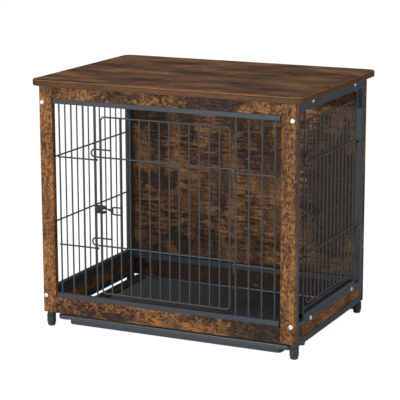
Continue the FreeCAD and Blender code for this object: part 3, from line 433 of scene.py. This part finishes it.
def gridFaces(rows, columns, closed=False):
    # quads of a grid of points, row by row; closed joins the end of each row to its start
    r, c = np.meshgrid(np.arange(rows - 1), np.arange(columns if closed else columns - 1), indexing="ij")
    here = r * columns
    above = here + columns
    nextC = (c + 1) % columns
    return np.stack([here + c, here + nextC, above + nextC, above + c], -1).reshape(-1, 4)


def makePiece(name, parts, material, body, smooth=True):
    # parts is a list of (points, faces), and each part's faces count from its own first point
    mesh = bpy.data.meshes.new(name)
    points = np.concatenate([p for p, f in parts])
    faces = []
    base = 0
    for p, f in parts:
        faces.extend((np.asarray(f) + base).tolist())
        base += len(p)
    mesh.from_pydata(points.tolist(), [], faces)
    mesh.polygons.foreach_set("use_smooth", [smooth] * len(mesh.polygons))
    mesh.materials.append(material)
    mesh.update()
    piece = bpy.data.objects.new(name, mesh)
    bpy.context.scene.collection.objects.link(piece)
    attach(piece, body)
    return piece


screwShape = {
    "headRadius": 0.0055,
    "headHeight": 0.0026,
    "rimHeight": 0.0006,
    "domePower": 2.6,                # 2 would be an arc, and more makes the dome flatter
    "domeShares": (0.60, 0.75, 0.87, 0.95, 1.0),  # the dome's rings as shares of the head's radius
    "seatShare": 0.98,               # how far out the head's underside goes
    "hexAcross": 0.0034,
    "hexDepth": 0.0016,
    "hexEdge": 0.0003,               # the bevel at the hexagon's mouth
    "hexCentre": 0.02,               # the innermost ring of its bottom, as a share of the hexagon
    "shankRadius": 0.00245,
    "tipLength": 0.0012,
    "tipRadius": 0.0002,
    "around": 36,
}


def screwSurface(length):
    # rings of points about the axis, from the bottom of the hexagon out over the head and down
    # the shank to its tip: a ring is radius(angle) at one height, counted from the head's seat
    # with the head above it; the dome is height = rim + (top - rim) * sqrt(1 - (r / R)^power);
    # the hexagon's radius at an angle is apothem / cos(angle folded into one sixth of a turn)
    s = screwShape
    angle = np.linspace(0.0, 2.0 * math.pi, s["around"], endpoint=False)
    apothem = s["hexAcross"] / 2.0
    sixth = math.pi / 3.0
    hexagon = apothem / np.cos((angle % sixth) - sixth / 2.0)
    circle = np.ones_like(angle)
    top = s["headHeight"]
    rise = top - s["rimHeight"]
    hexBottom = top - s["hexDepth"]
    rings = [(hexagon * s["hexCentre"], hexBottom), (hexagon, hexBottom), (hexagon, top - s["hexEdge"]),
             (hexagon + s["hexEdge"], top)]
    for share in s["domeShares"]:
        height = s["rimHeight"] + rise * math.sqrt(1.0 - share ** s["domePower"])
        rings.append((circle * s["headRadius"] * share, height))
    rings += [(circle * s["headRadius"] * s["seatShare"], 0.0), (circle * s["shankRadius"], 0.0),
              (circle * s["shankRadius"], -length + s["tipLength"]), (circle * s["tipRadius"], -length)]
    radius = np.stack([r for r, h in rings])
    height = np.stack([np.full_like(angle, h) for r, h in rings])
    points = np.stack([radius * np.cos(angle), radius * np.sin(angle), height], -1).reshape(-1, 3)
    return points, gridFaces(len(rings), s["around"], closed=True)[:, ::-1]


def corners(node, axis, middle):
    # where the screws of a node are: at the corners of its box, drawn in by a head's radius, and
    # at any middle places between them on the later of the two other axes
    low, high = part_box(node)
    r = screwShape["headRadius"]
    ways = [way for way in range(3) if way != axis]
    first = [low[ways[0]] + r, high[ways[0]] - r]
    second = [low[ways[1]] + r, *middle, high[ways[1]] - r]
    return ways, [(a, b) for a in first for b in second], low, high


def placeScrews(name, node, axis, outward, middle):
    # axis is the one the screws lie along, outward the sign of the side their heads are on
    ways, places, low, high = corners(node, axis, middle)
    faceLevel = (high[axis] if outward > 0 else low[axis]) - outward * screwShape["headHeight"]
    points, faces = screwSurface(high[axis] - low[axis] - screwShape["headHeight"])
    mirrored = (outward > 0) != (axis != 1)
    if mirrored:
        faces = faces[:, ::-1]
    parts = []
    for a, b in places:
        moved = np.zeros_like(points)
        moved[:, axis] = faceLevel + outward * points[:, 2]
        moved[:, ways[0]] = a + points[:, 0]
        moved[:, ways[1]] = b + points[:, 1]
        parts.append((moved, faces))
    piece = makePiece(name, parts, zinc, "root")
    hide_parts(node)


# each set: its node, axis and side, and the heights of any screws between the corners
screwSets = {
    "frontScrews": ("front_screws", 1, -1, ()),
    "backScrews": ("back_screws", 1, 1, (0.320,)),
    "leftSideScrews": ("left_side_screws", 0, -1, ()),
    "rightSideScrews": ("right_side_screws", 0, 1, ()),
    "topScrews": ("top_screws", 2, -1, ()),
}
for pieceName, (node, axis, outward, middle) in screwSets.items():
    placeScrews(pieceName, node, axis, outward, middle)
print("screws made")


trayShape = {
    "reach": 0.008,                  # how much wider the rim is at each end than the solid's
    "rimWidth": 0.0275,
    "frontShare": 0.35,              # the front rim's width as a share of the side rims'
    "rearShare": 0.4,                # and the rear rim's
    "rimHeight": 0.0097,
    "bottom": 0.0025,                # the pan's underside above the floor
    "wall": 0.002,
    "cornerOuter": 0.011,
    "cornerPan": 0.009,
    "edgeRound": 0.0028,
    "lipBevel": 0.0006,
    "panStep": 0.002,                # how far under the rim the pan's outer wall starts
    "panFlare": 0.0005,              # how much that wall leans in on its way down
    "ribPitch": 0.010,
    "ribWidth": 0.0046,
    "ribDrop": 0.0025,               # from the rim's top down to the ribs
    "ribEnd": 0.005,                 # each rib is rounded down over this length
    "ribGap": 0.0015,                # from the pan's wall to the ribs' ends
}

# one side of a rib's section, from its foot up: how far out from the rib's half width, or on top
# from its middle, and the height as a share of the rib's
ribFlank = (
    ("side", 0.0006, 0.0),
    ("side", 0.0001, 0.05),
    ("side", 0.0, 0.55),
    ("side", -0.0003, 0.93),
    ("middle", 0.0005, 1.0),
)


def roundedRectangle(low, high, inset, radius, front, rear, cornerPoints=9):
    # the outline of a rectangle drawn in by inset, at the front and rear by shares of it, with
    # quarter circles of the radius at its corners
    x0, x1 = low[0] + inset, high[0] - inset
    y0, y1 = low[1] + inset * front, high[1] - inset * rear
    turn = np.linspace(0.0, math.pi / 2.0, cornerPoints)
    centres = [(x1 - radius, y0 + radius, -math.pi / 2), (x1 - radius, y1 - radius, 0.0),
               (x0 + radius, y1 - radius, math.pi / 2), (x0 + radius, y0 + radius, math.pi)]
    points = [np.stack([cx + radius * np.cos(turn + a), cy + radius * np.sin(turn + a)], -1)
              for cx, cy, a in centres]
    return np.concatenate(points)


def quarter(centre, radius, start, end, count=5):
    # points of an arc in the profile's plane, angles in degrees
    a = np.radians(np.linspace(start, end, count))
    return [(centre[0] + radius * math.cos(t), centre[1] + radius * math.sin(t)) for t in a]


def makeTray():
    s = trayShape
    low, high = (list(corner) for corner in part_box("tray"))
    low[0] -= s["reach"]
    high[0] += s["reach"]
    top = high[2]
    bottom = s["bottom"]
    floor = bottom + s["wall"]
    e = s["edgeRound"]
    w = s["wall"]
    pan = s["rimWidth"]
    lip = top - s["rimHeight"]
    # the rim's section as (distance in from the outer edge, height): from the pan's floor up its
    # wall, over the rim, down the lip, and back underneath to the pan's bottom
    section = [(pan + w + e, floor)]
    section += quarter((pan + w + e, floor + e), e, 270, 180)[1:]
    section += quarter((pan + w - e, top - e), e, 0, 90)
    section += [(pan / 2, top)]
    section += quarter((e, top - e), e, 90, 180)
    section += [(0.0, lip + s["lipBevel"]), (s["lipBevel"], lip), (w, lip)]
    section += [(w, top - w), (pan - w, top - w), (pan, top - w - s["panStep"])]
    section += [(pan + s["panFlare"], bottom + e)] + quarter((pan + e, bottom + e), e, 180, 270)[1:]
    rings = []
    for inset, height in section:
        radius = s["cornerOuter"] - (s["cornerOuter"] - s["cornerPan"]) * min(1.0, inset / pan)
        outline = roundedRectangle(low, high, inset, radius, s["frontShare"], s["rearShare"])
        rings.append(np.column_stack([outline, np.full(len(outline), height)]))
    columns = len(rings[0])
    sweep = np.concatenate(rings)
    sweepFaces = gridFaces(len(rings), columns, closed=True)[:, ::-1]
    middle = np.array([[(low[0] + high[0]) / 2, (low[1] + high[1]) / 2, bottom]])
    under = np.concatenate([rings[-1], middle])
    ring = np.arange(columns)
    underFaces = np.stack([(ring + 1) % columns, ring, np.full(columns, columns)], -1)

    # the floor: height = floor + rib(x) * end(y), a rib's section being a flat-sided ridge with a
    # round top, and each end a quarter round; points past a corner's arc are drawn back onto it
    inset = pan + w
    x0, x1 = low[0] + inset, high[0] - inset
    y0, y1 = low[1] + inset * s["frontShare"], high[1] - inset * s["rearShare"]
    count = int((x1 - x0) / s["ribPitch"]) - 1
    middleX = (x0 + x1) / 2
    ribX = middleX + (np.arange(count) - (count - 1) / 2) * s["ribPitch"]
    tall = top - s["ribDrop"] - floor
    half = s["ribWidth"] / 2
    flank = np.array([out + (half if kind == "side" else 0.0) for kind, out, up in ribFlank])
    climb = np.array([up for kind, out, up in ribFlank])
    across = np.concatenate([-flank, flank[::-1]])
    share = np.concatenate([climb, climb[::-1]])
    xs = np.concatenate([[x0], (ribX[:, None] + across[None, :]).ravel(), [x1]])
    rise = np.concatenate([[0.0], np.tile(share, count), [0.0]])
    end = np.linspace(0.0, 1.0, 6)
    startY = y0 + s["ribGap"]
    stopY = y1 - s["ribGap"]
    ys = np.concatenate([[y0], startY + end * s["ribEnd"], stopY - end[::-1] * s["ribEnd"], [y1]])
    fall = np.sqrt(1.0 - (1.0 - end) ** 2)
    ends = np.concatenate([[0.0], fall, fall[::-1], [0.0]])
    gx, gy = np.meshgrid(xs, ys, indexing="ij")
    gz = floor + tall * rise[:, None] * ends[None, :]
    radius = s["cornerPan"] - w
    dx = np.maximum(np.abs(gx - middleX) - ((x1 - x0) / 2 - radius), 0.0)
    middleY = (y0 + y1) / 2
    dy = np.maximum(np.abs(gy - middleY) - ((y1 - y0) / 2 - radius), 0.0)
    length = np.maximum(np.hypot(dx, dy), 1e-9)
    back = np.minimum(1.0, radius / length) - 1.0
    gx = gx + np.sign(gx - middleX) * dx * back
    gy = gy + np.sign(gy - middleY) * dy * back
    floorPoints = np.stack([gx, gy, gz], -1).reshape(-1, 3)
    floorFaces = gridFaces(len(xs), len(ys))[:, ::-1]
    tray = makePiece("ribbedTray", [(sweep, sweepFaces), (floorPoints, floorFaces), (under, underFaces)],
                     plastic["trayPlastic"], "tray_body", smooth=False)
    tray.data.materials.append(plastic["ribPlastic"])
    finishOf = np.zeros(len(tray.data.polygons), dtype=np.int32)
    finishOf[len(sweepFaces):len(sweepFaces) + len(floorFaces)] = 1
    tray.data.polygons.foreach_set("material_index", finishOf)
    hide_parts("tray")


makeTray()
print("tray made")


studio = {
    "floorSize": 60.0,
    "floorColour": 0.80,             # how pale the floor is for light that reaches the object
    "floorSeen": 0.14,               # how pale it is for the camera, with the shadow on it
    "floorGlow": 0.975,              # an even light that only the camera sees there
    "ambient": 0.21,                 # the world's strength on the object; the camera sees white
}


def makeFloor():
    # a square of four corners, pale; the camera sees it near white with the shadow still on it
    reach = studio["floorSize"] / 2
    corner = reach * np.array([[-1, -1, 0], [1, -1, 0], [1, 1, 0], [-1, 1, 0]])
    mesh = bpy.data.meshes.new("studioFloor")
    mesh.from_pydata(corner.tolist(), [], [(0, 1, 2, 3)])
    finish = bpy.data.materials.new("studioFloor")
    finish.use_nodes = True
    tree = finish.node_tree
    tree.nodes.clear()
    output = tree.nodes.new("ShaderNodeOutputMaterial")
    both = tree.nodes.new("ShaderNodeAddShader")
    glow = tree.nodes.new("ShaderNodeEmission")
    paper = tree.nodes.new("ShaderNodeBsdfDiffuse")
    rays = tree.nodes.new("ShaderNodeLightPath")
    seen = tree.nodes.new("ShaderNodeMath")
    seen.operation = "MULTIPLY"
    seen.inputs[1].default_value = studio["floorGlow"]
    level = tree.nodes.new("ShaderNodeMapRange")
    level.inputs["To Min"].default_value = studio["floorColour"]
    level.inputs["To Max"].default_value = studio["floorSeen"]
    tree.links.new(rays.outputs["Is Camera Ray"], level.inputs["Value"])
    tree.links.new(level.outputs["Result"], paper.inputs["Color"])
    tree.links.new(rays.outputs["Is Camera Ray"], seen.inputs[0])
    tree.links.new(seen.outputs[0], glow.inputs["Strength"])
    tree.links.new(glow.outputs[0], both.inputs[0])
    tree.links.new(paper.outputs[0], both.inputs[1])
    tree.links.new(both.outputs[0], output.inputs["Surface"])
    mesh.materials.append(finish)
    floor = bpy.data.objects.new("studioFloor", mesh)
    bpy.context.scene.collection.objects.link(floor)


def makeWorld():
    world = bpy.data.worlds.new("studioWorld")
    bpy.context.scene.world = world
    world.use_nodes = True
    tree = world.node_tree
    tree.nodes.clear()
    output = tree.nodes.new("ShaderNodeOutputWorld")
    background = tree.nodes.new("ShaderNodeBackground")
    background.inputs["Color"].default_value = (1.0, 1.0, 1.0, 1.0)
    rays = tree.nodes.new("ShaderNodeLightPath")
    spread = tree.nodes.new("ShaderNodeMapRange")
    spread.inputs["To Min"].default_value = studio["ambient"]
    spread.inputs["To Max"].default_value = 1.0
    tree.links.new(rays.outputs["Is Camera Ray"], spread.inputs["Value"])
    tree.links.new(spread.outputs["Result"], background.inputs["Strength"])
    tree.links.new(background.outputs[0], output.inputs["Surface"])


# softboxes: where each stands, what it aims at, its width and height, and its power in watts
softboxes = {
    "keyStrip": dict(at=(-0.85, -4.20, 0.88), aim=(0.0, 0.0, 0.3), size=(2.0, 0.07), watts=98.0),
    "topSoftbox": dict(at=(-0.3, -0.9, 3.4), aim=(0.0, 0.0, 0.6), size=(2.2, 2.2), watts=62.0),
    "sideSoftbox": dict(at=(3.6, -1.2, 0.7), aim=(0.0, 0.0, 0.4), size=(1.6, 0.8), watts=34.0),
}


def makeSoftbox(name, at, aim, size, watts):
    lamp = bpy.data.lights.new(name, "AREA")
    lamp.shape = "RECTANGLE"
    lamp.size, lamp.size_y = size
    lamp.energy = watts
    holder = bpy.data.objects.new(name, lamp)
    holder.location = at
    holder.rotation_euler = (Vector(aim) - Vector(at)).to_track_quat("-Z", "Y").to_euler()
    bpy.context.scene.collection.objects.link(holder)


# the photograph's viewpoint: how far round to the right, how high, how far off, and the lens
viewpoint = {
    "azimuth": 25.43,
    "elevation": 12.54,
    "distance": 4.1096,
    "target": (-0.0175, 0.0, 0.3018),
    "roll": -0.16,
    "lens": 149.6,
    "sensor": 36.0,
    "clipEnd": 90.0,
}


def makeCamera():
    v = viewpoint
    a = math.radians(v["azimuth"])
    e = math.radians(v["elevation"])
    away = Vector((math.sin(a) * math.cos(e), -math.cos(a) * math.cos(e), math.sin(e)))
    camera = bpy.data.cameras.new("photoCamera")
    camera.lens = v["lens"]
    camera.sensor_width = v["sensor"]
    camera.clip_end = v["clipEnd"]
    holder = bpy.data.objects.new("photoCamera", camera)
    holder.location = Vector(v["target"]) + away * v["distance"]
    aim = (-away).to_track_quat("-Z", "Y").to_euler()
    aim.rotate_axis("Z", math.radians(v["roll"]))
    holder.rotation_euler = aim
    bpy.context.scene.collection.objects.link(holder)
    bpy.context.scene.camera = holder


makeFloor()
makeWorld()
for lampName, lampShape in softboxes.items():
    makeSoftbox(lampName, **lampShape)
makeCamera()
bpy.context.scene.view_settings.view_transform = "Standard"
print("floor, light and camera set")
